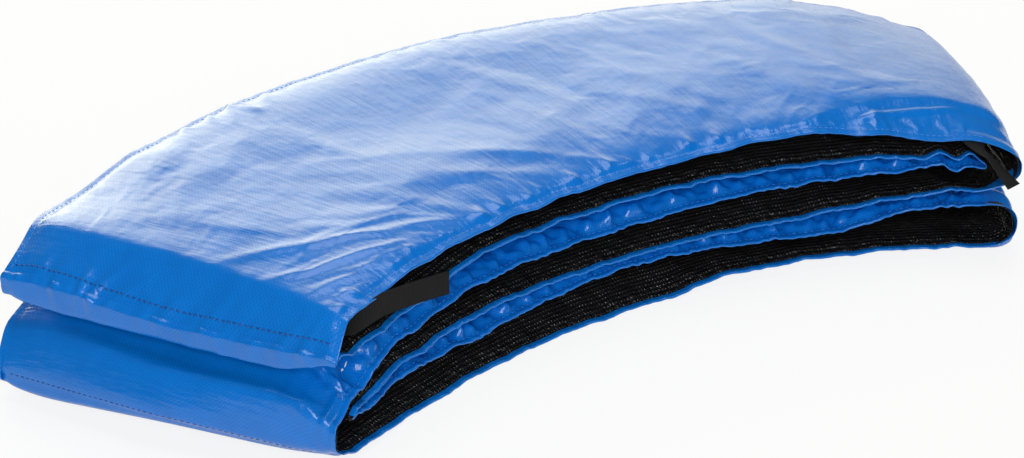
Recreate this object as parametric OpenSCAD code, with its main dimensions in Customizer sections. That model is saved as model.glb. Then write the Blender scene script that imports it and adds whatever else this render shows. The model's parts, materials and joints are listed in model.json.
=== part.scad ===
// Trampoline edge pad: a ring of six padded segments, folded in half and then in three.
// Frame: origin on the floor under the middle of the stack, +Z up, +Y from the hollow side to the
// outer side, +X to the right. The ring's centre lies on -Y. Layer 1 is on top, layer 6 on the floor.

/* [Ring] */
// Outer radius of the ring at its outer hem line
ring_r = 940; // [760:5:2200]
// Width of the pad between its two hem lines
pad_w = 300; // [220:5:400]

/* [Foam] */
// Thickness of a foam insert
foam_t = 20; // [12:1:30]
// Length left free between a foam insert and the cross seam
foam_end = 12; // [6:1:24]
// Width left free between a foam insert and the hem line
foam_edge = 12; // [9:1:20]

/* [Cloth] */
// Thickness of the blue coated cover
cover_t = 0.6; // [0.4:0.1:1.2]
// Thickness of the black woven underside
under_t = 0.6; // [0.4:0.1:1.2]
// Width of the sewn edge outside the hem line
hem_w = 7; // [4:1:12]
// Room between the foam and the cloth round it
slip = 0.2; // [0.1:0.05:0.5]

/* [Stack] */
// Share of its height that the stack keeps at the folded ends
end_keep = 0.78; // [0.68:0.01:1]
// Length over which the stack slopes down to a folded end
end_len = 60; // [45:5:120]
// Height by which the round bottom fold lifts the layers above it at the right end
right_rise = 6; // [0:1:20]
// Length over which that lift fades out
rise_len = 150; // [120:5:220]
// Room above and below a tucked strap
ply_clear = 0.3; // [0.3:0.05:0.8]
// Share of the width that is flat before the sides draw in
crown_flat = 0.5; // [0.5:0.02:0.7]
// Room between a layer's end and the cross seam
seam_gap = 0.05; // [0.03:0.01:0.2]

/* [Straps] */
// Width of a tie strap
strap_w = 20; // [14:1:26]
// Thickness of a tie strap
strap_t = 1; // [0.6:0.1:1.6]
// Length of a strap that is tucked between two layers
tuck_len = 120; // [60:5:180]
// Distance from the foam's inner edge to a tucked strap
tuck_in = 40; // [20:2:50]
// Free length of the left strap
left_len = 80; // [50:2:120]
// Height from the loose end of the right strap to where it leaves the pad
right_len = 38; // [30:2:60]
// Distance of the free straps from the sewn edge
strap_off = 7; // [5:1:12]
// Distance along the inner hem from the left end to where the left strap is loose
left_at = 60; // [54:1:90]
// Length of the left strap between its stitching and its loose end
left_run = 44; // [36:1:50]
// Distance from the hem line to the middle of the left strap's stitching
left_sewn = 14; // [12:1:18]
// Height that the left strap drops before it is loose
left_drop = 5; // [2:0.5:8]
// Height that the left strap drops over its free length
left_sink = 16; // [6:1:20]
// Distance along the inner hem from the right end to the right strap
right_at = 14; // [14:1:40]
// Height that the right strap drops before it is loose
right_drop = 8; // [2:1:9]
// Distance that the right strap leans to the right for each unit that it drops
right_lean = 0.85; // [0:0.05:0.9]

/* [Hidden] */
blue = [0.02, 0.36, 0.78];
black = [0.06, 0.06, 0.07];
white = [0.93, 0.93, 0.9];
tape = [0.09, 0.09, 0.1];

layers = 6;
half = 180 / layers;
r_mid = ring_r - pad_w / 2;
hw = pad_w / 2;
r_in = ring_r - pad_w;

// Heights in the middle of the stack: a layer, the room between two, and half a layer
ply_gap = (strap_t + 2 * ply_clear) / end_keep;
pitch = foam_t + cover_t + under_t + 2 * slip + ply_gap;
h_mid = (pitch - ply_gap) / 2;
hem_h = (max(cover_t, under_t) + 0.05) / end_keep;
function mid_z(k) = (layers + 0.5 - k) * pitch - ply_gap / 2;
function gap_z(k) = (layers - k) * pitch - ply_gap / 2;
// The blue side of the odd layers is up, that of the even ones down
function up(k) = k % 2 == 1 ? 1 : -1;

// Stations round the arc and across the pad, close where the shape turns
foam_u = half - foam_end / r_mid * 180 / PI;
foam_v = 1 - foam_edge / hw;
edge_v = 1 + hem_w / hw;
inner_us = [for (i = [-7:7]) foam_u * sin(90 * i / 7)];
inner_vs = [for (j = [-3:3]) foam_v * sin(90 * j / 3)];
seam_u = half - seam_gap / r_in * 180 / PI;
us = concat([-seam_u], inner_us, [seam_u]);
vs = concat([-edge_v, -1], inner_vs, [1, edge_v]);

// The stack slopes down to its ends, its right end lies on the bottom fold, and a layer draws in to its hems
function ease(x) = x * x * (3 - 2 * x);
function from_end(u, length) = max(0, 1 - (half - u) * PI / 180 * r_mid / length);
keep_table = [for (u = us) [u, 1 - (1 - end_keep) * ease(from_end(abs(u), end_len))]];
rise_table = [for (u = us) [u, right_rise * ease(from_end(u, rise_len))]];
function keep(u) = lookup(u, keep_table);
function lift(k, u) = k == layers ? 0 : lookup(u, rise_table);
function crown(v) =
  let (x = min(1, max(0, (abs(v) - crown_flat) / (1 - crown_flat)))) pow(1 - pow(x, 2.5), 2 / 3);
function half_h(v) = hem_h + (h_mid - hem_h) * crown(v);

function outward(u) = [sin(u), cos(u), 0];
function along(u) = [cos(u), -sin(u), 0];
function at(u, r, z) = [r * sin(u), r * cos(u) - r_mid, z];

// A closed solid between two surfaces over the stations given
module slab(us, vs, low, high) {
  nu = len(us);
  nv = len(vs);
  n = nu * nv;
  function p(i, j) = i * nv + j;
  points = concat(
    [for (u = us) for (v = vs) at(u, r_mid + hw * v, low(u, v))],
    [for (u = us) for (v = vs) at(u, r_mid + hw * v, high(u, v))]
  );
  tops = [for (i = [0:nu - 2]) for (j = [0:nv - 2])
    [n + p(i, j), n + p(i, j + 1), n + p(i + 1, j + 1), n + p(i + 1, j)]];
  bottoms = [for (i = [0:nu - 2]) for (j = [0:nv - 2])
    [p(i + 1, j + 1), p(i, j + 1), p(i, j), p(i + 1, j)]];
  rims = concat(
    [for (i = [0:nu - 2]) [p(i, 0), n + p(i, 0), n + p(i + 1, 0), p(i + 1, 0)]],
    [for (i = [0:nu - 2])
      [p(i + 1, nv - 1), n + p(i + 1, nv - 1), n + p(i, nv - 1), p(i, nv - 1)]],
    [for (j = [0:nv - 2]) [p(0, j + 1), n + p(0, j + 1), n + p(0, j), p(0, j)]],
    [for (j = [0:nv - 2])
      [p(nu - 1, j), n + p(nu - 1, j), n + p(nu - 1, j + 1), p(nu - 1, j + 1)]]
  );
  quads = concat(tops, bottoms, rims);
  polyhedron(points, [for (q = quads) for (t = [[q[0], q[1], q[2]], [q[0], q[2], q[3]]]) t]);
}

// A flat band of webbing along a row of stations, each [centre, width direction, face direction]
module ribbon(stations) {
  n = len(stations);
  points = [for (s = stations) for (c = [[-1, -1], [1, -1], [1, 1], [-1, 1]])
    s[0] + c[0] * strap_w / 2 * s[1] + c[1] * strap_t / 2 * s[2]];
  sides = [for (i = [0:n - 2]) for (c = [0:3]) let (a = 4 * i + c, b = 4 * i + (c + 1) % 4)
    c < 2 ? [a, b, b + 4, a + 4] : [b, b + 4, a + 4, a]];
  e = 4 * (n - 1);
  quads = concat(sides, [[3, 2, 1, 0], [e, e + 1, e + 2, e + 3]]);
  polyhedron(points, [for (q = quads) for (t = [[q[0], q[2], q[1]], [q[0], q[3], q[2]]]) t]);
}

// Layers
module foam(k) {
  above = up(k) == 1 ? cover_t : under_t;
  below = up(k) == 1 ? under_t : cover_t;
  slab(inner_us, inner_vs,
    function(u, v) keep(u) * (mid_z(k) - half_h(v)) + lift(k, u) + below + slip,
    function(u, v) keep(u) * (mid_z(k) + half_h(v)) + lift(k, u) - above - slip);
}

// One face of a layer's sleeve: side 1 is its upper face, -1 its lower face
module face(k, side, t) {
  outer = function(u, v) keep(u) * (mid_z(k) + side * half_h(v)) + lift(k, u);
  inner = function(u, v) outer(u, v) - side * t;
  slab(us, vs, side == 1 ? inner : outer, side == 1 ? outer : inner);
}

module cover(k) { face(k, up(k), cover_t); }
module underside(k) { face(k, -up(k), under_t); }

// Cloth round a folded end. The axis lies in the gap under layer k_gap; reach is 0.5 where the fold
// joins the two layers next to it and 1.5 where it wraps the two beyond; far is the outer of its cloths.
// The axis is raised by up, and the fold is wider by open
module wrap(k_gap, reach, far, t, up = 0, open = 0) {
  side = far ? 1 : -1;
  function r(v) = end_keep * (reach * pitch + side * half_h(v)) + open;
  outer = [for (v = vs) [far ? r(v) : r(v) + t, r_mid + hw * v]];
  inner = [for (j = [len(vs) - 1:-1:0]) [far ? r(vs[j]) - t : r(vs[j]), r_mid + hw * vs[j]]];
  translate([0, -r_mid, end_keep * gap_z(k_gap) + up])
    rotate([0, 0, -90 - half])
      rotate([0, -90, 0])
        rotate_extrude(angle = 180)
          polygon(concat(outer, inner));
}
module right_wrap(k_gap, reach, far, t) { wrap(k_gap, reach, far, t, up = right_rise); }
module bottom_wrap(far, t) { wrap(layers - 1, 0.5, far, t, up = right_rise / 2, open = right_rise / 2); }
module left_wrap(k_gap, reach, far, t) { mirror([1, 0, 0]) wrap(k_gap, reach, far, t); }

// A strap that lies on the layer below layer k, from the end at side towards the middle
tuck_v = [-foam_v + tuck_in / hw, -foam_v + (tuck_in + strap_w) / hw];
module tucked_strap(k, side) {
  a = foam_u;
  b = foam_u - tuck_len / r_in * 180 / PI;
  ends = side == 1 ? [b, a] : [-a, -b];
  stops = concat([ends[0]], [for (u = us) if (u > ends[0] + 0.1 && u < ends[1] - 0.1) u], [ends[1]]);
  slab(stops, tuck_v,
    function(u, v) keep(u) * gap_z(k) + lift(k + 1, u) - strap_t / 2,
    function(u, v) keep(u) * gap_z(k) + lift(k + 1, u) + strap_t / 2);
}

// The free straps come out of the gap under the top layer. A station is at angle u, radius r_in + dr and
// height dz from the middle of the gap, turned from lying flat (0) to standing on edge (90)
function turned(u, dr, dz, turn) = [
  at(u, r_in + dr, keep(u) * gap_z(1) + dz),
  cos(turn) * outward(u) + sin(turn) * [0, 0, 1],
  -sin(turn) * outward(u) + cos(turn) * [0, 0, 1]
];
function arc(length) = length / r_in * 180 / PI;
// Height in the gap of a strap that lies against the layer above
function seat(u, dr) = keep(u) * (pitch / 2 - half_h(1 - dr / hw)) - strap_t / 2 - 0.2;
free_r = r_in - hem_w - strap_off;

left_u = arc(left_at) - half;
left_z = keep(left_u) * gap_z(1) - left_drop;
left_fall = left_sink / left_len;
module left_tab() {
  function on(share) = left_u - arc(share * left_run);
  function sewn(share, dr) = turned(on(share), dr, seat(on(share), dr), -14);
  ribbon([
    sewn(1, left_sewn),
    sewn(0.75, 0.9 * left_sewn),
    turned(on(0.48), 0.3 * left_sewn, 0, 20),
    turned(on(0.23), 0.55 * (free_r - r_in), -0.4 * left_drop, 55),
    turned(left_u, free_r - r_in, -left_drop, 90)
  ]);
}
module left_tail() {
  root = at(left_u, free_r, left_z) + seam_gap * along(left_u);
  run = along(left_u) - [0, 0, left_fall];
  ribbon([for (s = [0, left_len]) [root + s * run, [0, 0, 1], -outward(left_u)]]);
}

right_u = half - arc(right_at);
right_a = right_u - arc(strap_w / 2);
right_b = right_u + arc(strap_w / 2);
right_us = concat([right_a], [for (u = us) if (u > right_a + 0.05 && u < right_b - 0.05) u], [right_b]);
function right_z(u) = keep(u) * (mid_z(1) - hem_h) + lift(1, u) - seam_gap;
right_chord = 2 * free_r * sin((right_b - right_a) / 2);
right_slope = (right_z(right_b) - right_z(right_a)) / right_chord;
// How far the tab sags below the straight line between its corners
right_sag = max([for (u = right_us) let (share = (u - right_a) / (right_b - right_a))
  right_z(right_a) * (1 - share) + right_z(right_b) * share - right_z(u)]);
// The tab lies under the hem and slopes down beyond it
module right_tab() {
  free_v = (free_r - r_mid) / hw;
  function sink(v) = right_drop * max(0, (-edge_v - v) / (-edge_v - free_v));
  slab(right_us, [free_v, -edge_v, -1],
    function(u, v) right_z(u) - sink(v) - strap_t,
    function(u, v) right_z(u) - sink(v));
}
module right_tail() {
  top = (right_z(right_a) + right_z(right_b)) / 2 - strap_t - max(0, right_sag) - 2 * seam_gap - right_drop;
  root = at(right_u, free_r + strap_t / 2, top);
  run = right_lean * along(right_u) - [0, 0, 1];
  ribbon([for (s = [right_len, 0])
    [root + s * run, along(right_u) + [0, 0, right_slope], outward(right_u)]]);
}

// Sub-parts
module foam_1() { color(white) foam(1); }
module foam_2() { color(white) foam(2); }
module foam_3() { color(white) foam(3); }
module foam_4() { color(white) foam(4); }
module foam_5() { color(white) foam(5); }
module foam_6() { color(white) foam(6); }
module cover_1() { color(blue) cover(1); }
module cover_2() { color(blue) cover(2); }
module cover_3() { color(blue) cover(3); }
module cover_4() { color(blue) cover(4); }
module cover_5() { color(blue) cover(5); }
module cover_6() { color(blue) cover(6); }
module underside_1() { color(black) underside(1); }
module underside_2() { color(black) underside(2); }
module underside_3() { color(black) underside(3); }
module underside_4() { color(black) underside(4); }
module underside_5() { color(black) underside(5); }
module underside_6() { color(black) underside(6); }
module cover_fold_1_2() { color(blue) left_wrap(1, 0.5, true, cover_t); }
module cover_fold_1_4() { color(blue) right_wrap(2, 1.5, true, cover_t); }
module cover_fold_2_3() { color(blue) right_wrap(2, 0.5, false, cover_t); }
module cover_fold_3_6() { color(blue) left_wrap(4, 1.5, true, cover_t); }
module cover_fold_4_5() { color(blue) left_wrap(4, 0.5, false, cover_t); }
module cover_fold_5_6() { color(blue) bottom_wrap(true, cover_t); }
module underside_fold_1_2() { color(black) left_wrap(1, 0.5, false, under_t); }
module underside_fold_1_4() { color(black) right_wrap(2, 1.5, false, under_t); }
module underside_fold_2_3() { color(black) right_wrap(2, 0.5, true, under_t); }
module underside_fold_3_6() { color(black) left_wrap(4, 1.5, false, under_t); }
module underside_fold_4_5() { color(black) left_wrap(4, 0.5, true, under_t); }
module underside_fold_5_6() { color(black) bottom_wrap(false, under_t); }
module strap_left_tab() { color(tape) left_tab(); }
module strap_left_tail() { color(tape) left_tail(); }
module strap_right_tab() { color(tape) right_tab(); }
module strap_right_tail() { color(tape) right_tail(); }
module strap_2_3() { color(tape) tucked_strap(3, 1); }
module strap_3_6() { color(tape) tucked_strap(3, -1); }
module strap_4_5() { color(tape) tucked_strap(5, -1); }
module strap_5_6() { color(tape) tucked_strap(5, 1); }

foam_1();
foam_2();
foam_3();
foam_4();
foam_5();
foam_6();
cover_1();
cover_2();
cover_3();
cover_4();
cover_5();
cover_6();
underside_1();
underside_2();
underside_3();
underside_4();
underside_5();
underside_6();
cover_fold_1_2();
cover_fold_1_4();
cover_fold_2_3();
cover_fold_3_6();
cover_fold_4_5();
cover_fold_5_6();
underside_fold_1_2();
underside_fold_1_4();
underside_fold_2_3();
underside_fold_3_6();
underside_fold_4_5();
underside_fold_5_6();
strap_left_tab();
strap_left_tail();
strap_right_tab();
strap_right_tail();
strap_2_3();
strap_3_6();
strap_4_5();
strap_5_6();
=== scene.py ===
"""A folded trampoline edge pad: six padded layers of blue coated cloth with a black woven underside."""
import json
import math

import bpy
import numpy as np
from mathutils import Matrix, Vector


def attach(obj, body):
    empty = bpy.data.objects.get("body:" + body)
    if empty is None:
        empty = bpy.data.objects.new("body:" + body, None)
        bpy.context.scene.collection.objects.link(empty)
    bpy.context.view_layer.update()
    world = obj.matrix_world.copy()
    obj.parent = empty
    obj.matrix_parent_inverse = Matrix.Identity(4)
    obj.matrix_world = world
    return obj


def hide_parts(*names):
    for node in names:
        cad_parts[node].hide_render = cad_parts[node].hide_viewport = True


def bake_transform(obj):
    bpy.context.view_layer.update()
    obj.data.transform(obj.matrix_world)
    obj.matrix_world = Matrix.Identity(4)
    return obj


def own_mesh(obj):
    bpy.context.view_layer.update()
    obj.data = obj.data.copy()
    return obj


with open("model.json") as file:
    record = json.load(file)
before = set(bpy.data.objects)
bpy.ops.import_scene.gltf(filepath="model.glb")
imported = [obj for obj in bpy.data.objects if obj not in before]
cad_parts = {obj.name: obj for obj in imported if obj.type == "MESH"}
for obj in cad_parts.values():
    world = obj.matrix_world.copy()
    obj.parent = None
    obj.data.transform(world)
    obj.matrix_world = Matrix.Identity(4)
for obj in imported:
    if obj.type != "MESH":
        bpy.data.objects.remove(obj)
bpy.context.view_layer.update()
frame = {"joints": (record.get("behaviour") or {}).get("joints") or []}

# Sizes of the pad, in metres, the same as in the part's source
RING_R = 0.94
PAD_W = 0.30
FOAM_T = 0.020
FOAM_EDGE = 0.012
CLOTH_T = 0.0006
HEM_W = 0.007
SLIP = 0.0002
END_KEEP = 0.78
RIGHT_RISE = 0.006
RISE_LEN = 0.150
FOAM_END = 0.012
STRAP_W = 0.020
STRAP_T = 0.001
PLY_CLEAR = 0.0003
TUCK_LEN = 0.120
TUCK_IN = 0.040
LEFT_LEN = 0.080
LEFT_RUN = 0.044
LEFT_FALL = 0.2
RIGHT_LEN = 0.038
RIGHT_LEAN = 0.85
CROWN_FLAT = 0.5
LAYERS = 6

HALF = math.pi / LAYERS
HALF_W = PAD_W / 2
R_MID = RING_R - HALF_W
R_IN = RING_R - PAD_W
EDGE = HALF_W + HEM_W
PLY_GAP = (STRAP_T + 2 * PLY_CLEAR) / END_KEEP
PITCH = FOAM_T + 2 * CLOTH_T + 2 * SLIP + PLY_GAP
H_MID = (PITCH - PLY_GAP) / 2
HEM_H = (CLOTH_T + 0.00005) / END_KEEP
MM = 0.001
# Cloth is drawn thinner than it is, so that the two cloths of a steep hem don't meet
SHEET_T = 0.0003
# Height of the lowest cloth's upper side over the floor
FLOOR_ROOM = 0.0002

BODY = {
    1: "third_top", 2: "third_top",
    3: "third_middle", 4: "third_middle",
    5: "third_bottom", 6: "third_bottom",
}

# How far the inner hem of each layer lies above its middle: angle round the ring, then millimetres
HEM_SHIFT = {
    1: [(-30, 4), (-28, 0), (-24, -1), (-20, 0), (4, 0), (12, 3), (16, 3), (20, -4), (26, -11), (30, -5)],
    2: [(-30, 9), (-28, -19), (-25, -14), (-20, -10), (-14, 1), (0, -2), (22, -7), (25, -10), (26.5, -4),
        (27.8, -10), (28.8, -3), (30, -9)],
    3: [(-30, -11), (-28, -25), (-26, -13), (-22, -6), (-14, 1), (0, -1), (13, 2), (25, 3), (26.5, 7),
        (27.8, 1), (28.8, 6), (30, 5)],
    4: [(-30, -3), (-28, -16), (-25, -8), (-22, -6), (-14, -3), (0, -7), (13, -8), (23, -2), (30, 2)],
    5: [(-30, 12), (-28, 4), (-25, 5), (-22, 8), (-15, 2), (0, 9), (18, -1), (24, 8), (30, 7)],
    6: [(-30, 0), (-28, -2), (-25, -5), (-20, -9), (3, -9), (10, -1), (30, -1)],
}
# Width of cloth that moves with its inner hem
HEM_BAND = 0.055
# The same for the outer hem of the top layer, and the share of it that each layer below takes
OUTER_SHIFT = [(-30, 2), (-27, -8), (-24, -10), (-19, 2), (-12, 8), (0, 10), (12, 5), (20, 0), (25, -2),
               (30, -7)]
OUTER_SHARE = {1: 1.0, 2: 0.85, 3: 0.6, 4: 0.4, 5: 0.2, 6: 0.0}
# How far the left end of each layer reaches past the cross seam and how far it is raised there, in
# millimetres at the inner hem, the middle and the outer hem
LEFT_REACH = {
    1: (9, 2, 0), 2: (9, 2, 0),
    3: (-7, -15, -16), 4: (-16, -8, -16),
    5: (-16, -8, -10), 6: (4, 12, 10),
}
LEFT_RISE = {1: (0, -7, 0), 2: (0, -3, 0), 6: (9, 12, 4)}
# Lengths over which a layer comes down to its left end, at the inner hem, the middle and the outer hem, in
# millimetres, and to its right end
LEFT_DROP = (22, 33, 40)
RIGHT_DROP_LEN = 0.140
# How much the two layers of the top fold are pressed together at their left end, at the inner hem,
# the middle and the outer hem, and over what length
TOP_FOLD = (1, 2)
PINCH = (0.45, 0.45, 0.15)
PINCH_LEN = 0.12
# How far the outer corners are drawn in at the left and the right end, and over what length of the pad
CORNER_LEFT = (0.014, 0.07)
CORNER_RIGHT = (0.008, 0.05)
# Slope of the top layer's sewn inner edge
HEM_HANG = 0.3
# Share of the small waves that each layer's hem has
HEM_WAVES = {1: 0.4, 2: 1.0, 3: 1.0, 4: 1.0, 5: 1.0, 6: 0.6}


def ease(x):
    x = np.clip(x, 0, 1)
    return x * x * (3 - 2 * x)


def along_points(points, x):
    """A smooth line through a few points, flat at each of them."""
    xs, ys = np.array(points, float).T
    i = np.clip(np.searchsorted(xs, x) - 1, 0, len(xs) - 2)
    t = ease((x - xs[i]) / (xs[i + 1] - xs[i]))
    return ys[i] + (ys[i + 1] - ys[i]) * t


def place(u, r, z):
    """Points at angle u and radius r round the ring's centre."""
    u, r, z = np.broadcast_arrays(u, r, z)
    return np.stack([r * np.sin(u), r * np.cos(u) - R_MID, z], -1)


def along(u):
    return np.stack([np.cos(u), -np.sin(u), 0 * u], -1)


def outward(u):
    return np.stack([np.sin(u), np.cos(u), 0 * u], -1)


def unit(v):
    return v / np.maximum(np.linalg.norm(v, axis=-1, keepdims=True), 1e-12)


def mid_z(k):
    return (LAYERS + 0.5 - k) * PITCH - PLY_GAP / 2


def blue_side(k):
    return 1 if k % 2 else -1


def half_height(w):
    x = np.clip((np.abs(w) / HALF_W - CROWN_FLAT) / (1 - CROWN_FLAT), 0, 1)
    return HEM_H + (H_MID - HEM_H) * (1 - x**2.5) ** (2 / 3)


def waves(rng, x, length, height, count=5):
    """A gentle irregular line with waves of about that length and height."""
    total = np.zeros_like(x)
    for _ in range(count):
        total = total + np.sin(x * 2 * np.pi / (length * rng.uniform(0.6, 1.7)) + rng.uniform(0, 7))
    return height * total / math.sqrt(count)


# Gathers at stitched edges: their spacing, height, reach away from the edge and width
OUTER_GATHERS = (0.02, 0.0022, 0.024, 0.004)
LONG_GATHERS = (0.04, 0.0011, 0.12, 0.009)
HEM_GATHERS = (0.009, 0.0026, 0.013, 0.0026)
FINE_CRUMPLES = (0.012, 0.0030, 0.022, 0.0030)
WIDE_CRUMPLES = (0.026, 0.0050, 0.040, 0.007)
SEAM_GATHERS = (0.011, 0.0030, 0.020, 0.0030)
FOLD_GATHERS = (0.014, 0.0018, 0.035, 0.0045)
FOLD_SEAM_GATHERS = (0.012, 0.0016, 0.020, 0.0035)


def gathers(rng, a, s, sizes, lean=(-0.5, 0.5), strong=1.0):
    """Puckers that run away from a stitched edge: a goes along the edge and s away from it."""
    spacing, height, reach, width = sizes
    height = height * strong
    total = np.zeros(np.broadcast(a, s).shape)
    at = float(a.min())
    last = float(a.max()) + reach
    while at < last:
        at += spacing * rng.uniform(0.4, 1.7)
        far = reach * rng.uniform(0.4, 1.5)
        wide = width * rng.uniform(0.6, 1.6) * (1 + 0.6 * s / reach)
        slant = rng.uniform(*lean)
        tall = height * rng.uniform(-0.6, 1.3)
        total += tall * np.exp(-(((a - at - slant * s) / wide) ** 2)) * np.exp(-((s / far) ** 2))
    return total


def crumples(rng, a, s, size, height, count=6):
    """Facets between sharp creases, as in coated cloth that was pressed together."""
    total = np.zeros(np.broadcast(a, s).shape)
    for _ in range(count):
        lean, length = rng.uniform(-1.0, 1.0), size * rng.uniform(0.7, 1.8)
        run = a * math.cos(lean) + s * math.sin(lean) + waves(rng, s, 2 * size, 0.2 * size)
        total += np.abs(np.sin(run * math.pi / length + rng.uniform(0, 7))) - 0.64
    return height * total / math.sqrt(count)


def crease(a, s, points, width, height):
    """One long soft fold along a line of points on the flat cloth, in millimetres, fading at both ends."""
    line = MM * np.array(points, float)
    nearest = np.full(a.shape, np.inf)
    share = np.zeros(a.shape)
    for i in range(len(line) - 1):
        (a0, s0), (da, ds) = line[i], line[i + 1] - line[i]
        t = np.clip(((a - a0) * da + (s - s0) * ds) / (da * da + ds * ds), 0, 1)
        away = np.hypot(a - a0 - t * da, s - s0 - t * ds)
        share = np.where(away < nearest, (i + t) / (len(line) - 1), share)
        nearest = np.minimum(away, nearest)
    return MM * height * np.exp(-((nearest / (MM * width)) ** 2)) * ease(4 * share) * ease(4 * (1 - share))


def normals(points):
    """Unit normals of a grid of points, towards the side from which columns run left of rows."""
    return unit(np.cross(np.gradient(points, axis=0), np.gradient(points, axis=1)))


def across(values, w):
    """Values at the inner hem, the middle and the outer hem, in millimetres, spread over the width."""
    return MM * np.interp(w, (-HALF_W, 0, HALF_W), values)


def left_slope(u, w):
    """How far a layer has come down to its left end: nought on the foam, then straight up to one."""
    x = 1 - (u + HALF) * R_MID / across(LEFT_DROP, w)
    return (x + np.sqrt(x * x + 0.012)) / 2


def keep(u, w):
    """Share of its height that the stack keeps near its two folded ends."""
    left = left_slope(u, w)
    right = np.clip(1 - (HALF - u) * R_MID / RIGHT_DROP_LEN, 0, 1) ** 1.4
    return 1 - (1 - END_KEEP) * (left + right)


def lift(k, u, w):
    """The right end lies on the round bottom fold, more so at its inner corner."""
    if k == LAYERS:
        return 0.0
    return RIGHT_RISE * (1 - 1.2 * w / HALF_W) * ease(1 - (HALF - u) * R_MID / RISE_LEN)


def face(k, side, u, w):
    """The upper (side 1) or lower (side -1) surface of a layer over angles u and offsets w across it."""
    u, w = np.broadcast_arrays(u[:, None], w[None, :])
    degrees = np.degrees(u[:, :1])
    a = u * R_MID
    s_in, s_out = w + EDGE, EDGE - w
    z = mid_z(k) + side * half_height(w)
    if k in TOP_FOLD:
        near = ease(1 - (u + HALF) * R_MID / PINCH_LEN)
        between = (LAYERS - 1) * PITCH - PLY_GAP / 2
        z = z + np.interp(w, (-HALF_W, 0, HALF_W), PINCH) * near * (between - z)
    z = keep(u, w) * z + lift(k, u, w)
    z = z + MM * along_points(HEM_SHIFT[k], degrees) * ease(1 - s_in / HEM_BAND)
    z = z + MM * OUTER_SHARE[k] * along_points(OUTER_SHIFT, degrees) * ease((w + 0.03) / 0.18)
    hem_rng = np.random.default_rng(100 + k)
    for s in (s_in, s_out):
        z = z + HEM_WAVES[k] * waves(hem_rng, a[:, :1], 0.045, 0.0007) * np.exp(-s / 0.02)
        z = z + HEM_WAVES[k] * waves(hem_rng, a[:, :1], 0.013, 0.0004) * np.exp(-s / 0.008)
    r = R_MID + w + waves(hem_rng, a[:, :1], 0.07, 0.001) * np.exp(-s_in / 0.02)
    if k == 1:
        z = z - HEM_HANG * np.maximum(HEM_W - s_in, 0)
    left = ease(1 - (u + HALF) * R_MID / CORNER_LEFT[1])
    right = ease(1 - (HALF - u) * R_MID / CORNER_RIGHT[1])
    outer = ease((w - 0.05) / 0.1)
    r = r - CORNER_LEFT[0] * left * outer - CORNER_RIGHT[0] * right * outer
    z = z + across(LEFT_RISE.get(k, (0, 0, 0)), w) * left_slope(u, w)
    u = u - across(LEFT_REACH[k], w) / R_MID * left
    if k == LAYERS:
        z = np.maximum(z, FLOOR_ROOM)
    return place(u, r, z)


def stations(edge_step, mid_step):
    """Offsets across the pad, close together near both hems."""
    band = 0.06
    near = np.arange(0, band, edge_step)
    count = int(round((2 * EDGE - 2 * band) / mid_step))
    middle = np.linspace(band - EDGE, EDGE - band, count + 1)
    return np.concatenate([near - EDGE, middle, EDGE - near[::-1]])


def angles(step):
    """Angles round the arc, closer together near the ends."""
    t = np.linspace(-1, 1, int(round(2 * HALF * R_MID / step)) + 1)
    return HALF * (0.72 * t + 0.28 * np.sin(t * math.pi / 2))


# Meshes


def mesh_object(name, points, faces, uvs, material, flat_faces=0):
    """A smooth mesh, except for its last few faces, which stay flat and have sharp edges."""
    mesh = bpy.data.meshes.new(name)
    mesh.from_pydata(points.tolist(), [], faces.tolist())
    layer = mesh.uv_layers.new(name="cloth")
    loops = np.zeros(len(mesh.loops), np.int32)
    mesh.loops.foreach_get("vertex_index", loops)
    layer.data.foreach_set("uv", uvs[loops].astype(np.float32).ravel())
    mesh.polygons.foreach_set("use_smooth", np.arange(len(faces)) < len(faces) - flat_faces)
    if flat_faces:
        on_rim = np.zeros(len(points), bool)
        on_rim[faces[-flat_faces:]] = True
        pairs = np.zeros(2 * len(mesh.edges), np.int32)
        mesh.edges.foreach_get("vertices", pairs)
        mesh.edges.foreach_set("use_edge_sharp", on_rim[pairs.reshape(-1, 2)].all(1))
    mesh.materials.append(material)
    mesh.update()
    obj = bpy.data.objects.new(name, mesh)
    bpy.context.scene.collection.objects.link(obj)
    return obj


def grid_faces(index):
    """Quads between the neighbours of a grid of vertex numbers."""
    return np.stack([index[:-1, :-1], index[1:, :-1], index[1:, 1:], index[:-1, 1:]], -1).reshape(-1, 4)


def shell(name, points, uv, material, thick=SHEET_T, flip=False):
    """A closed sheet of that thickness under a grid of points."""
    n0, n1 = points.shape[:2]
    sign = -1 if flip else 1
    under = points - sign * thick * normals(points)
    index = np.arange(n0 * n1).reshape(n0, n1)
    below = index + n0 * n1
    ring = np.concatenate([index[:, 0], index[-1, 1:], index[-2::-1, -1], index[0, -2:0:-1]])
    after = np.roll(ring, -1)
    rim = np.stack([after, ring, ring + n0 * n1, after + n0 * n1], -1)
    faces = np.concatenate([grid_faces(index), grid_faces(below)[:, ::-1], rim])
    if flip:
        faces = faces[:, ::-1]
    both = np.concatenate([points.reshape(-1, 3), under.reshape(-1, 3)])
    uvs = np.concatenate([uv.reshape(-1, 2)] * 2)
    return mesh_object(name, both, faces, uvs, material, flat_faces=len(rim))


def tube_faces(count, rings, sides):
    """Quads of many equal tubes, whose vertices are numbered by tube, then ring, then side."""
    index = np.arange(count * rings * sides).reshape(count, rings, sides)
    nxt = np.roll(index, -1, axis=2)
    return np.stack([index[:, :-1], nxt[:, :-1], nxt[:, 1:], index[:, 1:]], -1).reshape(-1, 4)


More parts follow.
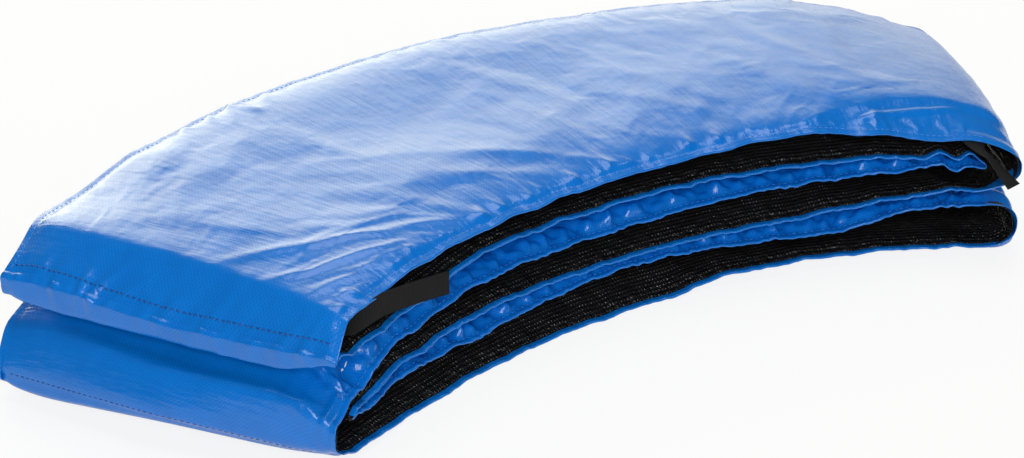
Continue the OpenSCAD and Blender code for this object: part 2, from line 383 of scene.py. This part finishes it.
def stitches(name, lines, material, pitch=0.0052, length=0.0038, thick=0.0005):
    """Rows of thread dashes; each line is a row of points on the cloth and the cloth's normals there."""
    tubes = []
    for line, up in lines:
        run = np.concatenate([[0], np.cumsum(np.linalg.norm(np.diff(line, axis=0), axis=-1))])
        at = np.arange(pitch, run[-1] - pitch / 2, pitch)
        centre, up = (np.stack([np.interp(at, run, v[:, i]) for i in range(3)], -1) for v in (line, up))
        way = unit(np.gradient(centre, axis=0))
        side = np.cross(way, up)
        rings = []
        for x, height, size in STITCH:
            for turn in np.arange(STITCH_SIDES) * 2 * math.pi / STITCH_SIDES:
                raised = height + size * math.sin(turn) / 2
                lie = size * thick * math.cos(turn) * side + thick * raised * up
                rings.append(centre + x * length * way + lie)
        tubes.append(np.stack(rings, 1))
    points = np.concatenate(tubes)
    faces = tube_faces(len(points), len(STITCH), STITCH_SIDES)
    points = points.reshape(-1, 3)
    obj = mesh_object(name, points, faces, points[:, :2], material)
    return obj


# A dash of thread: distance along it, height and thickness, as shares of its length and thickness
STITCH = [(-0.5, -0.5, 0.1), (-0.35, 0.1, 0.8), (0.0, 0.3, 1.0), (0.35, 0.1, 0.8), (0.5, -0.5, 0.1)]
STITCH_SIDES = 5


# Materials


class Nodes:
    """The node tree of one new material, with its Principled shader."""

    def __init__(self, name):
        self.material = bpy.data.materials.new(name)
        self.material.use_nodes = True
        self.tree = self.material.node_tree
        self.shader = self.tree.nodes["Principled BSDF"]
        self.uv = self.add("ShaderNodeUVMap", uv_map="cloth").outputs["UV"]

    def add(self, kind, inputs=None, **settings):
        node = self.tree.nodes.new(kind)
        for key, value in settings.items():
            setattr(node, key, value)
        for key, value in (inputs or {}).items():
            self.put(value, node.inputs[key])
        return node

    def put(self, value, socket):
        if isinstance(value, bpy.types.NodeSocket):
            self.tree.links.new(value, socket)
        else:
            socket.default_value = value

    def math(self, operation, a, b=0.0):
        node = self.add("ShaderNodeMath", operation=operation)
        self.put(a, node.inputs[0])
        self.put(b, node.inputs[1])
        return node.outputs[0]

    def turned(self, angle, stretch=(1, 1)):
        """The cloth's coordinates, turned in its own plane and then stretched."""
        inputs = {"Vector": self.uv, "Rotation": (0, 0, angle), "Scale": (*stretch, 1)}
        return self.add("ShaderNodeMapping", inputs).outputs[0]

    def rows(self, angle, period):
        """Even rows across the cloth, from 0 to 1."""
        inputs = {"Vector": self.turned(angle), "Scale": math.pi / 10 / period}
        return self.add("ShaderNodeTexWave", inputs, wave_profile="SIN").outputs["Fac"]

    def noise(self, size, detail=2.0, vector=None):
        inputs = {"Vector": vector or self.uv, "Scale": 1 / size, "Detail": detail}
        return self.add("ShaderNodeTexNoise", inputs).outputs["Fac"]

    def spread(self, value, low, high):
        """A value from 0 to 1 laid over another range."""
        node = self.add("ShaderNodeMapRange")
        self.put(value, node.inputs["Value"])
        node.inputs["To Min"].default_value = low
        node.inputs["To Max"].default_value = high
        return node.outputs["Result"]

    def blend(self, fac, a, b):
        node = self.add("ShaderNodeMix", data_type="RGBA")
        self.put(fac, node.inputs["Factor"])
        self.put((*a, 1), node.inputs[6])
        self.put((*b, 1), node.inputs[7])
        return node.outputs[2]

    def bump(self, height, distance, under=None):
        inputs = {"Height": height, "Distance": distance}
        if under is not None:
            inputs["Normal"] = under
        return self.add("ShaderNodeBump", inputs).outputs["Normal"]

    def finish(self, color, roughness, normal):
        self.put(color, self.shader.inputs["Base Color"])
        self.put(roughness, self.shader.inputs["Roughness"])
        self.put(normal, self.shader.inputs["Normal"])
        return self.material


def coated_cloth():
    n = Nodes("cover_blue")
    weave = n.math("MAXIMUM", n.rows(math.pi / 4, 0.0024), n.rows(-math.pi / 4, 0.0024))
    hair = n.noise(0.01, 2.0, n.turned(0.5, (2.2, 0.25)))
    soft = n.noise(0.03, 3.0)
    normal = n.bump(soft, 0.0010)
    normal = n.bump(hair, 0.0004, normal)
    normal = n.bump(weave, 0.00004, normal)
    shade = n.math("ADD", n.spread(soft, -0.2, 0.6), n.spread(weave, -0.25, 0.5))
    color = n.blend(shade, (0.0010, 0.136, 0.52), (0.002, 0.194, 0.69))
    return n.finish(color, n.spread(n.noise(0.012), 0.16, 0.27), normal)


def woven_cloth():
    n = Nodes("underside_black")
    tape = n.math("MULTIPLY", n.rows(0.0, 0.0036), n.rows(math.pi / 2, 0.0036))
    soft = n.noise(0.02, 3.0)
    to_hem = n.math("ABSOLUTE", n.add("ShaderNodeSeparateXYZ", {"Vector": n.uv}).outputs["Y"])
    ends_at = {"Value": to_hem, "From Min": HALF_W - 0.016, "From Max": HALF_W}
    near_hem = n.add("ShaderNodeMapRange", ends_at)
    pulled = n.math("MULTIPLY", n.noise(0.006, 3.0), near_hem.outputs["Result"])
    normal = n.bump(soft, 0.004)
    normal = n.bump(pulled, 0.005, normal)
    normal = n.bump(tape, 0.0010, normal)
    color = n.blend(soft, (0.006, 0.006, 0.007), (0.018, 0.018, 0.019))
    return n.finish(color, n.spread(n.noise(0.004), 0.12, 0.34), normal)


def webbing():
    n = Nodes("webbing")
    ribs = n.rows(0.0, 0.0016)
    fine = n.rows(math.pi / 2, 0.0011)
    normal = n.bump(n.math("MULTIPLY", ribs, fine), 0.0003)
    n.shader.inputs["Specular IOR Level"].default_value = 0.25
    color = n.blend(ribs, (0.004, 0.004, 0.0045), (0.009, 0.009, 0.0095))
    return n.finish(color, n.spread(fine, 0.75, 0.9), normal)


def sewing_thread(name, dark, light):
    n = Nodes(name)
    twist = n.rows(math.pi / 4, 0.0006)
    return n.finish(n.blend(twist, dark, light), n.spread(twist, 0.2, 0.35), n.bump(twist, 0.0001))


def foam_cells():
    n = Nodes("foam")
    cells = n.noise(0.004, 4.0)
    color = n.blend(cells, (0.8, 0.8, 0.76), (0.92, 0.92, 0.88))
    return n.finish(color, n.spread(cells, 0.85, 0.95), n.bump(cells, 0.0008))


BLUE = coated_cloth()
BLACK = woven_cloth()
TAPE = webbing()
# Hem thread drawn in a paler blue than the cloth: a painted highlight for the glints on the hem stitches
PAINTED_GLINT_THREAD = sewing_thread("thread_painted_glint", (0.015, 0.19, 0.66), (0.06, 0.28, 0.76))
# Cross-seam thread drawn in a dark navy: painted shade for the shadowed holes of the seam stitches
PAINTED_SHADE_THREAD = sewing_thread("thread_painted_shade", (0.0010, 0.04, 0.20), (0.002, 0.08, 0.36))
BLACK_THREAD = sewing_thread("thread_black", (0.008, 0.008, 0.009), (0.02, 0.02, 0.021))
FOAM = foam_cells()

# Layers

# Distances from the hem at which the folded-back edge of the cover has points, and its room to the
# other cloth
LIP = np.array([0.0040, 0.0028, 0.0014, 0.0])
LIP_ROOM = 0.0007
# Length of cloth that goes round a hem, and the points there
HEM_TURN = 0.003
ROUND = np.radians([135, 90, 45])
# The row of points, counted from the hem, along which it is stitched, and its distance from the hem
SEWN_ROW = 2
SEWN_AT = 0.0044
# Ends of layers where a cross seam shows on the outside
SEAMS = {(1, "left"), (4, "right")}
# The deepest dent in a cover, over which the foam has room
DENT = 0.0045
# Share of the settled cloth's own folds that the top cover takes
SETTLE_SHARE = 0.35
# Layers whose blue face is seen from the front as a narrow crumpled band
CRUMPLED = (3, 5)
ends = {}

# Long folds in the top cover: points along the arc and away from the inner hem, width and height, in
# millimetres
TOP_FOLDS = [
    ([(-388, 138), (-321, 69), (-270, 42), (-169, 5)], 6, 2.2),
    ([(-392, 88), (-357, 53), (-294, 29), (-240, 14)], 5, 2.0),
    ([(-396, 44), (-345, 24), (-300, 20), (-225, 5)], 5, 2.0),
    ([(-398, 22), (-342, 10), (-310, 1)], 4, 1.4),
    ([(-252, 111), (-191, 79), (-120, 50), (-60, 20)], 9, 1.0),
    ([(70, 116), (144, 42)], 9, 0.8),
    ([(60, 215), (133, 103), (160, 60)], 10, 0.8),
    ([(150, 225), (239, 65)], 10, 0.9),
    ([(225, 225), (306, 78)], 10, 0.9),
    ([(-30, 200), (8, 47)], 9, 0.7),
    ([(-185, 318), (-176, 262)], 5, 2.0),
    ([(-305, 255), (-250, 279), (-212, 314)], 14, 1.8),
]
# The hollow along the inner hem near the right end: its upper border, depth and the ridge inside it
HOLLOW = [(180, 0), (253, 27), (312, 40), (368, 50), (420, 50)]
HOLLOW_DEPTH = 3.0
HOLLOW_RIDGE = ([(262, 12), (328, 26), (410, 40)], 4, 2.8)


def finish_cloth(obj, body, node):
    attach(obj, body)
    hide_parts(node)


def top_folds(a, s):
    """The long folds and the hollow of the top cover."""
    total = sum(crease(a, s, *fold) for fold in TOP_FOLDS)
    border = MM * np.interp(a / MM, *np.array(HOLLOW, float).T, left=-50)
    total = total - MM * HOLLOW_DEPTH * ease((border - s) / 0.015)
    return total + crease(a, s, *HOLLOW_RIDGE)


def relief(k, side, u, w):
    """Height of the gathers and folds of a layer's cloth over its plain surface."""
    rng = np.random.default_rng(10 * k + side)
    blue = side == blue_side(k)
    strong = 1.0 if blue else 0.5
    a, w = np.broadcast_arrays((u * R_MID)[:, None], w[None, :])
    s_in, s_out = np.maximum(w + EDGE - SEWN_AT, 0), np.maximum(EDGE - SEWN_AT - w, 0)
    sewn_in, sewn_out = (1 - np.exp(-((s / 0.0035) ** 2)) for s in (s_in, s_out))
    lean = (-1.5, -0.2) if k == 1 else (-0.5, 0.7)
    tight = (-0.6, 0.3) if k == 1 else lean
    total = gathers(rng, a, s_out, OUTER_GATHERS, strong=strong)
    total += gathers(rng, a, s_in, LONG_GATHERS, lean, strong)
    if k in CRUMPLED and blue:
        total += gathers(rng, a, s_in, FINE_CRUMPLES, lean)
        total += gathers(rng, a, s_in, WIDE_CRUMPLES, lean)
        total += crumples(rng, a, s_in, 0.017, 0.0040) * np.exp(-((s_in / 0.045) ** 2))
    else:
        total += gathers(rng, a, s_in, HEM_GATHERS, tight, strong)
    if k == 1 and blue:
        total += top_folds(a, w + EDGE)
    for end, away in (("left", u + HALF), ("right", HALF - u)):
        s = (away * R_MID)[:, None]
        if (k, end) in SEAMS and blue:
            total += gathers(rng, w + 0 * a, s, SEAM_GATHERS, (-1.4, 0.0))
            total -= 0.0012 * np.exp(-((s / 0.004) ** 2))
    deepest = np.maximum(SHEET_T - END_KEEP * half_height(w), -DENT)
    return np.maximum(total * sewn_in * sewn_out, deepest)


def settle(points, held, under, grow=0.012, frames=14):
    """Lets a grid of cloth, cut a little too large, settle on the foam under it while its sewn edges stay."""
    scene = bpy.context.scene
    n0, n1 = points.shape[:2]
    index = np.arange(n0 * n1).reshape(n0, n1)
    cloth, bed = (mesh_object(name, p.reshape(-1, 3), grid_faces(index), p.reshape(-1, 3)[:, :2], BLUE)
                  for name, p in (("settling_cloth", points), ("settling_bed", under)))
    bed.modifiers.new("collision", "COLLISION")
    bed.collision.thickness_outer = 0.001
    bed.collision.cloth_friction = 20
    sewn = cloth.vertex_groups.new(name="sewn")
    sewn.add(index[held].tolist(), 1.0, "REPLACE")
    modifier = cloth.modifiers.new("cloth", "CLOTH")
    settings = modifier.settings
    settings.quality = 6
    settings.mass = 0.02
    settings.tension_stiffness = settings.compression_stiffness = 20
    settings.shear_stiffness = 8
    settings.bending_stiffness = 0.4
    settings.air_damping = 4
    settings.shrink_min = -grow
    settings.vertex_group_mass = "sewn"
    modifier.collision_settings.distance_min = 0.001
    modifier.point_cache.frame_start, modifier.point_cache.frame_end = 1, frames
    for step in range(1, frames + 1):
        scene.frame_set(step)
    settled = cloth.evaluated_get(bpy.context.evaluated_depsgraph_get()).data
    moved = np.zeros(n0 * n1 * 3, np.float32)
    settled.vertices.foreach_get("co", moved)
    for obj in (cloth, bed):
        bpy.data.meshes.remove(obj.data)
    scene.frame_set(1)
    return moved.reshape(points.shape).astype(float)


def turn_over(back, edge, way):
    """Rows of cloth round a hem, from its row on one face to that on the other."""
    middle, reach = (edge + back) / 2, (edge - back) / 2
    radius = np.linalg.norm(reach, axis=-1, keepdims=True)
    return np.stack([middle + reach * math.cos(t) + way * radius * math.sin(t) for t in ROUND], 1)


def lip(k, side, u, sign):
    """The cover's edge folded back over the other cloth, from its free edge to the inner or outer hem."""
    points = face(k, -side, u, sign * (EDGE - LIP))
    return points - side * np.array([0, 0, LIP_ROOM])


def cover(k):
    side = blue_side(k)
    u = angles(0.0020 if k in CRUMPLED else 0.0026)
    w = stations(0.0022, 0.0030 if k == 1 else 0.008)
    points = face(k, side, u, w)
    points = points + side * relief(k, side, u, w)[..., None] * normals(points)
    if k == 1:
        near_end = (np.abs(u) > HALF - 0.006)[:, None]
        near_hem = (np.abs(w) > EDGE - SEWN_AT - 0.001)[None, :]
        bed = face(k, side, u, w) - np.array([0, 0, 0.0015])
        loose = SETTLE_SHARE * ease((HALF - np.abs(u)) * R_MID / 0.08)[:, None, None]
        points = points + loose * (settle(points, near_end | near_hem, bed) - points)
    up = normals(points) * side
    near, far = lip(k, side, u, -1), lip(k, side, u, 1)[:, ::-1]
    in_turn = turn_over(near[:, -1], points[:, 0], -outward(u))
    out_turn = turn_over(far[:, 0], points[:, -1], outward(u))[:, ::-1]
    turn_at = HEM_TURN * ROUND / math.pi
    flat = np.concatenate([LIP * -1 - HEM_TURN - EDGE, -EDGE - turn_at, w, EDGE + turn_at[::-1],
                           EDGE + HEM_TURN + LIP[::-1]])
    all_points = np.concatenate([near, in_turn, points, out_turn, far], 1)
    if k == LAYERS:
        all_points[..., 2] = np.maximum(all_points[..., 2], FLOOR_ROOM)
    uv = np.stack(np.broadcast_arrays((u * R_MID)[:, None], flat[None, :]), -1)
    name = f"cover_{k}"
    ends[name] = all_points, flat
    obj = shell(name, all_points, uv, BLUE, flip=side < 0)
    finish_cloth(obj, BODY[k], name)
    rows = [(points[:, SEWN_ROW], up[:, SEWN_ROW]), (points[:, -1 - SEWN_ROW], up[:, -1 - SEWN_ROW])]
    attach(stitches(f"cover_stitches_{k}", rows, PAINTED_GLINT_THREAD), BODY[k])
    if (k, "left") in SEAMS:
        i = int(np.argmin(np.abs((u + HALF) * R_MID - 0.005)))
        rows = [(points[i, SEWN_ROW:-SEWN_ROW], up[i, SEWN_ROW:-SEWN_ROW])]
        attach(stitches(f"seam_stitches_{k}", rows, PAINTED_SHADE_THREAD, thick=0.0008), BODY[k])


def underside(k):
    side = -blue_side(k)
    u = angles(0.0036)
    w = stations(0.0022, 0.008)
    points = face(k, side, u, w)
    points = points + side * relief(k, side, u, w)[..., None] * normals(points)
    uv = np.stack(np.broadcast_arrays((u * R_MID)[:, None], w[None, :]), -1)
    name = f"underside_{k}"
    ends[name] = points, w
    obj = shell(name, points, uv, BLACK, flip=side < 0)
    finish_cloth(obj, BODY[k], name)
    up = normals(points) * side
    rows = [(points[:, i], up[:, i]) for i in (SEWN_ROW, -1 - SEWN_ROW)]
    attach(stitches(f"underside_stitches_{k}", rows, BLACK_THREAD), BODY[k])


def foam(k):
    u = angles(0.012)[3:-3]
    w = np.linspace(-1, 1, 31) * (HALF_W - FOAM_EDGE)
    room = 0.003 + 1.4 * DENT * np.exp(-((HALF_W - np.abs(w)) / 0.05) ** 2)
    top, low = face(k, 1, u, w), face(k, -1, u, w)
    middle, half = (top + low)[..., 2] / 2, (top - low)[..., 2] / 2
    half = np.maximum(half - room, 0.0005)
    top[..., 2] = middle + half
    low[..., 2] = middle - half
    points = np.concatenate([low[:, ::-1], top], 1)
    n0, n1 = points.shape[:2]
    index = np.arange(n0 * n1).reshape(n0, n1)
    faces = [grid_faces(np.concatenate([index, index[:, :1]], 1))]
    count = n1 // 2
    for i, turn in ((0, 1), (n0 - 1, -1)):
        cap = np.stack([index[i, :count], index[i, :count - 1:-1]])
        faces.append(grid_faces(cap)[:, ::turn])
    points = points.reshape(-1, 3)
    obj = mesh_object(f"foam_{k}", points, np.concatenate(faces), points[:, :2], FOAM)
    finish_cloth(obj, BODY[k], f"foam_{k}")


# Folded ends: the end of the stack, how full the fold is (2 is an ellipse), how far above its middle it is
# widest as a share of half its height, and how far it stands out at the inner hem, the middle and the outer
# hem, in millimetres, for the blue and for the black cloth
FOLDS = {
    "1_2": ("left", 4.0, 0.0, (3, 4, 5), (1, 2, 1)),
    "3_6": ("left", 2.8, 0.25, (16, 29, 20), (12, 22, 15)),
    "4_5": ("left", 2.0, 0.0, (1, 3, 1), (5, 15, 6)),
    "1_4": ("right", 2.5, 0.0, (32, 33, 24), (29, 29, 20)),
    "2_3": ("right", 2.0, 0.0, (2, 3, 2), (12, 16, 10)),
    "5_6": ("right", 2.5, 0.0, (34, 34, 20), (30, 28, 15)),
}
# Height of the cross seam that shows on the bottom fold, at the inner hem, the middle and the outer hem
LOW_SEAM = (14, 24, 20)
# Distance of its stitches above it
LOW_SEAM_SEWN = 0.004
FOLD_STEPS = 29


def outgoing(end, row, way, flat):
    """Direction in which a layer's cloth runs out at its end, with a length of 1 along the fold's way."""
    points, own_flat = end
    run = points[row] - points[row + 2 if row == 0 else row - 2]
    run = run / np.maximum(run @ way, 0.001)[:, None]
    run = way + np.clip(run - way, -0.7, 0.7)
    run = np.stack([np.interp(flat, own_flat, run[:, i]) for i in range(3)], -1)
    for _ in range(8):
        run[1:-1] = (run[:-2] + 2 * run[1:-1] + run[2:]) / 4
    return run


def fold_run(points):
    """Length of the cloth from the upper layer round the fold."""
    return np.cumsum(np.linalg.norm(np.diff(points, axis=0, prepend=points[:1]), axis=-1), axis=0)


def low_seam(points, out_way, flat):
    """Draws the cloth in along the cross seam of the bottom fold, and gives the line of its stitches."""
    run = fold_run(points)
    heights = across(LOW_SEAM, flat)
    columns = range(points.shape[1])
    at = np.array([np.interp(-heights[j], -points[:, j, 2], run[:, j]) for j in columns])
    away = run - at
    points = points - out_way * (0.0014 * np.exp(-((away / 0.0035) ** 2)))[..., None]
    sewn_at = at - LOW_SEAM_SEWN
    line, up = (np.array([[np.interp(sewn_at[j], run[:, j], v[:, j, i]) for i in range(3)] for j in columns])
                for v in (points, out_way))
    sewn = np.abs(flat) < HALF_W
    return points, (line[sewn], up[sewn])


def fold_strip(pair, cloth, end, full, skew, bulge, material):
    a, b = pair.split("_")
    row = 0 if end == "left" else -1
    first, flat = ends[f"{cloth}_{a}"][0][row], ends[f"{cloth}_{a}"][1]
    other, other_flat = ends[f"{cloth}_{b}"][0][row], ends[f"{cloth}_{b}"][1]
    last = np.stack([np.interp(flat, other_flat, other[:, i]) for i in range(3)], -1)
    way = -along(-HALF) if end == "left" else along(HALF)
    leave, arrive = (outgoing(ends[f"{cloth}_{k}"], row, way, flat) for k in (a, b))
    depth = across(bulge, flat)[:, None]
    turn = np.linspace(0, math.pi, FOLD_STEPS)[:, None, None]
    level = np.sign(np.cos(turn)) * np.abs(np.cos(turn)) ** (2 / full)
    level = level + skew * (1 - level**2)
    out = np.abs(np.sin(turn)) ** (2 / full)
    middle, reach = (first + last) / 2, (first - last) / 2
    share = (2 if end == "left" else 1) * turn / math.pi
    ahead = way + (leave - way) * (1 - ease(share)) + (arrive - way) * (1 - ease(share[::-1]))
    points = middle + reach * level + depth * out * ahead
    out_way = normals(points)
    facing = float(np.sum(out_way * (points - middle)))
    out_way = out_way * np.sign(facing)
    run = fold_run(points)
    if cloth == "cover":
        rng = np.random.default_rng(int(a) * 100 + int(b))
        s_in = np.broadcast_to(np.clip(flat + HALF_W, 0, None), run.shape)
        crumple = gathers(rng, run, s_in, FOLD_GATHERS, (-0.6, 0.6))
        crumple = crumple * (1 - np.exp(-((s_in / 0.004) ** 2))) * np.sin(turn[:, :, 0])
        if (int(a), end) in SEAMS:
            crumple += gathers(rng, flat + 0 * run, run, FOLD_SEAM_GATHERS, (-0.8, 0.3)) * (run > 0)
        points = points + crumple[..., None] * out_way
    seam = None
    if pair == "3_6" and cloth == "cover":
        points, seam = low_seam(points, out_way, flat)
    far = HALF * R_MID + run
    uv = np.stack([-far if end == "left" else far, np.broadcast_to(flat, run.shape)], -1)
    inside_out = (cloth == "cover") == (pair in ("2_3", "4_5"))
    name = f"{cloth}_fold_{pair}"
    pieces = [shell(name, points, uv, material, flip=(facing < 0) != inside_out)]
    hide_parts(name)
    if seam:
        pieces.append(stitches(f"seam_stitches_{pair}", [seam], PAINTED_SHADE_THREAD))
    body_a, body_b = BODY[int(a)], BODY[int(b)]
    for obj in pieces:
        if body_a == body_b:
            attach(obj, body_a)
            if pair == "5_6":
                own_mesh(obj)
        else:
            if body_a == "third_middle":
                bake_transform(obj)
            else:
                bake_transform(obj)


# Straps

STRAP_BEVEL = 0.0003
# Distance of a strap's middle from the cloth on which it lies
STRAP_ROOM = 0.0012
# The left strap's webbing lies a little above the line of its hinge
LEFT_SHIFT = np.array([-0.006, 0.003, 0.004])
# The right one leaves the hem nearer the end and further in, and it is shorter; how its webbing is turned
# along its length, in degrees
RIGHT_SHIFT = 0.010
RIGHT_IN = 0.006
RIGHT_SEEN = 0.85
RIGHT_TURN = (84, 80, 74, 66, 56)


def ribbon(name, body, centres, sides, steps=24):
    """A band of webbing through a few centres, with the direction of its width at each of them."""
    t = np.linspace(0, 1, len(centres))
    fine = np.linspace(0, 1, steps)
    centre, side = (np.stack([np.interp(fine, t, np.array(v)[:, i]) for i in range(3)], -1)
                    for v in (centres, sides))
    for _ in range(6):
        for v in (centre, side):
            v[1:-1] = (v[:-2] + 2 * v[1:-1] + v[2:]) / 4
    side = unit(side)
    up = unit(np.cross(unit(np.gradient(centre, axis=0)), side))
    half_w, half_t = STRAP_W / 2, STRAP_T / 2
    inner = half_w - STRAP_BEVEL
    outline = [(-half_w, 0), (-inner, half_t), (inner, half_t),
               (half_w, 0), (inner, -half_t), (-inner, -half_t)]
    points = np.stack([centre + x * side + y * up for x, y in outline], 1)
    n0, n1 = points.shape[:2]
    index = np.arange(n0 * n1).reshape(n0, n1)
    faces = [grid_faces(np.concatenate([index, index[:, :1]], 1))]
    for i, turn in ((0, 1), (n0 - 1, -1)):
        cap = index[i][np.array([(0, 1, 2, 3), (0, 3, 4, 5)])]
        faces.append(cap[:, ::turn])
    run = np.concatenate([[0], np.cumsum(np.linalg.norm(np.diff(centre, axis=0), axis=-1))])
    width = np.array([x for x, _ in outline])
    uv = np.stack(np.broadcast_arrays(run[:, None], width[None, :]), -1).reshape(-1, 2)
    faces = np.concatenate(faces)
    obj = mesh_object(name, points.reshape(-1, 3), faces, uv, TAPE, flat_faces=len(faces))
    if body:
        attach(obj, body)
    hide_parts(name)
    return obj


def joint_point(name):
    return np.array(next(j["pos_m"] for j in frame["joints"] if j["name"] == name))


def on_layer(k, side, u, w, room):
    """A point that far above the upper face of a layer, or below its lower face."""
    return face(k, side, np.array([u]), np.array([w]))[0, 0] + side * np.array([0, 0, room])


def left_strap():
    root = joint_point("strap_left_swing") + LEFT_SHIFT
    u = math.atan2(root[0], root[1] + R_MID)
    run = along(u) - np.array([0, 0, LEFT_FALL])
    up = np.array([0.0, 0.0, 1.0])
    tail = [root + LEFT_LEN * s * run - 0.006 * s * s * outward(u) for s in (0, 0.33, 0.67, 1)]
    ribbon("strap_left_tail", "strap_left", tail, [up] * len(tail))
    back = [root - LEFT_RUN * s * along(u) + x * outward(u) - z * up
            for s, x, z in ((0.33, 0.002, 0.001), (0.67, 0.010, 0.004))]
    sewn = [on_layer(1, -1, u - s * LEFT_RUN / R_IN, w - HALF_W, STRAP_ROOM)
            for s, w in ((1.0, 0.016), (1.3, 0.018))]
    flat = outward(u) - 0.2 * up
    ribbon("strap_left_tab", "third_top", [root, *back, *sewn], [up, up, up + 0.5 * flat, flat, flat])


def right_strap():
    root = joint_point("strap_right_swing")
    u = math.atan2(root[0], root[1] + R_MID)
    hem = [on_layer(1, -1, u + du, -EDGE, 0.002) for du in (-0.012, 0.012)]
    root[2] = min(root[2], (hem[0][2] + hem[1][2]) / 2 - 0.001)
    root += RIGHT_SHIFT * along(u) - RIGHT_IN * outward(u)
    width = unit(hem[1] - hem[0])
    drop = RIGHT_LEAN * along(u) - np.array([0, 0, 1])
    turns = -np.radians(RIGHT_TURN)
    across_way = np.cross(unit(drop), width)
    sides = [math.cos(t) * width + math.sin(t) * across_way for t in turns]
    shares = np.linspace(0, 1, len(turns))
    tail = [root + RIGHT_SEEN * RIGHT_LEN * s * drop for s in shares]
    obj = ribbon("strap_right_tail", None, tail, sides)
    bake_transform(obj)
    sewn = [on_layer(1, -1, u, w, 0.0016) for w in (0.014 - HALF_W, -HALF_W)]
    ribbon("strap_right_tab", "third_top", [*sewn, root], [width, width, sides[0]])


def tucked_strap(name, k, sign, body):
    """A strap on the layer under layer k, from its left (-1) or right (1) end towards the middle."""
    far = HALF - FOAM_END / R_MID
    us = sign * np.linspace(far, far - TUCK_LEN / R_IN, 8)
    w = FOAM_EDGE + TUCK_IN + STRAP_W / 2 - HALF_W
    centres = [on_layer(k + 1, 1, u, w, STRAP_ROOM) for u in us]
    edges = [on_layer(k + 1, 1, u, w + STRAP_W / 4, STRAP_ROOM) for u in us]
    sides = [sign * (e - c) for c, e in zip(centres, edges)]
    ribbon(name, body, centres, sides)


for k in range(1, LAYERS + 1):
    foam(k)
    cover(k)
    underside(k)
for pair, (end, full, skew, blue_bulge, black_bulge) in FOLDS.items():
    fold_strip(pair, "cover", end, full, skew, blue_bulge, BLUE)
    fold_strip(pair, "underside", end, full, skew, black_bulge, BLACK)
left_strap()
right_strap()
for name, k, sign, body in (("strap_2_3", 3, 1, "third_middle"), ("strap_3_6", 3, -1, "third_middle"),
                            ("strap_4_5", 5, -1, "third_bottom"), ("strap_5_6", 5, 1, "third_bottom")):
    tucked_strap(name, k, sign, body)

# Camera, as the photograph was taken

EYE = (-1.04833, -1.58559, 0.94872)
FORWARD = Vector((0.49212, 0.75058, -0.44097)).normalized()
UP = Vector((0.24995, 0.36339, 0.89748)).normalized()
camera_data = bpy.data.cameras.new("camera")
camera_data.sensor_width = 36
camera_data.lens = 84.7
camera = bpy.data.objects.new("camera", camera_data)
bpy.context.scene.collection.objects.link(camera)
right = FORWARD.cross(UP)
turn = Matrix((right, UP, -FORWARD)).transposed().to_4x4()
camera.matrix_world = Matrix.Translation(EYE) @ turn
bpy.context.scene.camera = camera

# Floor and light

# Share of plain white in the floor as the camera sees it
FLOOR_GLOW = 0.85


def floor():
    size = 12.0
    points = np.array([(-size, -size, 0), (size, -size, 0), (size, size, 0), (-size, size, 0)], float)
    n = Nodes("floor_white")
    n.shader.inputs["Base Color"].default_value = (0.9, 0.9, 0.9, 1)
    n.shader.inputs["Roughness"].default_value = 1.0
    n.shader.inputs["Specular IOR Level"].default_value = 0.0
    path = n.add("ShaderNodeLightPath").outputs
    seen = n.math("MAXIMUM", n.math("MAXIMUM", path["Is Camera Ray"], path["Is Glossy Ray"]),
                  path["Is Transmission Ray"])
    white = n.add("ShaderNodeEmission", {"Color": (1, 1, 1, 1), "Strength": 1.0})
    mix = n.add("ShaderNodeMixShader", {"Fac": n.math("MULTIPLY", seen, FLOOR_GLOW)})
    n.tree.links.new(n.shader.outputs[0], mix.inputs[1])
    n.tree.links.new(white.outputs[0], mix.inputs[2])
    n.tree.links.new(mix.outputs[0], n.tree.nodes["Material Output"].inputs["Surface"])
    obj = mesh_object("floor", points, np.array([[0, 1, 2, 3]]), points[:, :2], n.material)


def lamp(name, at, aim, width, height, watts, color=(1, 1, 1)):
    data = bpy.data.lights.new(name, "AREA")
    data.shape = "RECTANGLE"
    data.size, data.size_y, data.energy, data.color = width, height, watts, color
    obj = bpy.data.objects.new(name, data)
    obj.location = at
    obj.rotation_euler = (Vector(aim) - Vector(at)).to_track_quat("-Z", "Y").to_euler()
    obj.visible_camera = False
    bpy.context.scene.collection.objects.link(obj)
    return data


def fade(data, across_width, up_height):
    """Lets a lamp's light change across its width and height: where that begins, and both ends' shares."""
    data.use_nodes = True
    tree = data.node_tree
    split = tree.nodes.new("ShaderNodeSeparateXYZ")
    tree.links.new(tree.nodes.new("ShaderNodeNewGeometry").outputs["Parametric"], split.inputs[0])
    both = tree.nodes.new("ShaderNodeMath")
    both.operation = "MULTIPLY"
    for i, (begin, first, last) in enumerate((across_width, up_height)):
        spread = tree.nodes.new("ShaderNodeMapRange")
        spread.inputs["From Min"].default_value = begin
        spread.inputs["To Min"].default_value = first
        spread.inputs["To Max"].default_value = last
        tree.links.new(split.outputs[i], spread.inputs["Value"])
        tree.links.new(spread.outputs["Result"], both.inputs[i])
    tree.links.new(both.outputs[0], tree.nodes["Emission"].inputs["Strength"])


floor()
softbox = lamp("back_softbox", (1.7, 2.6, 1.8), (0.6, 0.0, 1.6), 4.6, 3.6, 195, (1.0, 0.97, 0.75))
fade(softbox, (0.0, 0.02, 1.3), (0.5, 1.1, 0.05))
lamp("top_fill", (0.4, 0.2, 2.8), (0.1, 0, 0), 2.0, 2.0, 42)
lamp("front_fill", (-1.7, -2.9, 1.7), (0, 0, 0.05), 2.4, 1.8, 88)

world = bpy.data.worlds.new("studio")
bpy.context.scene.world = world
world.use_nodes = True
background = world.node_tree.nodes["Background"]
background.inputs["Color"].default_value = (1, 1, 1, 1)
background.inputs["Strength"].default_value = 0.08
bpy.context.scene.view_settings.view_transform = "Standard"
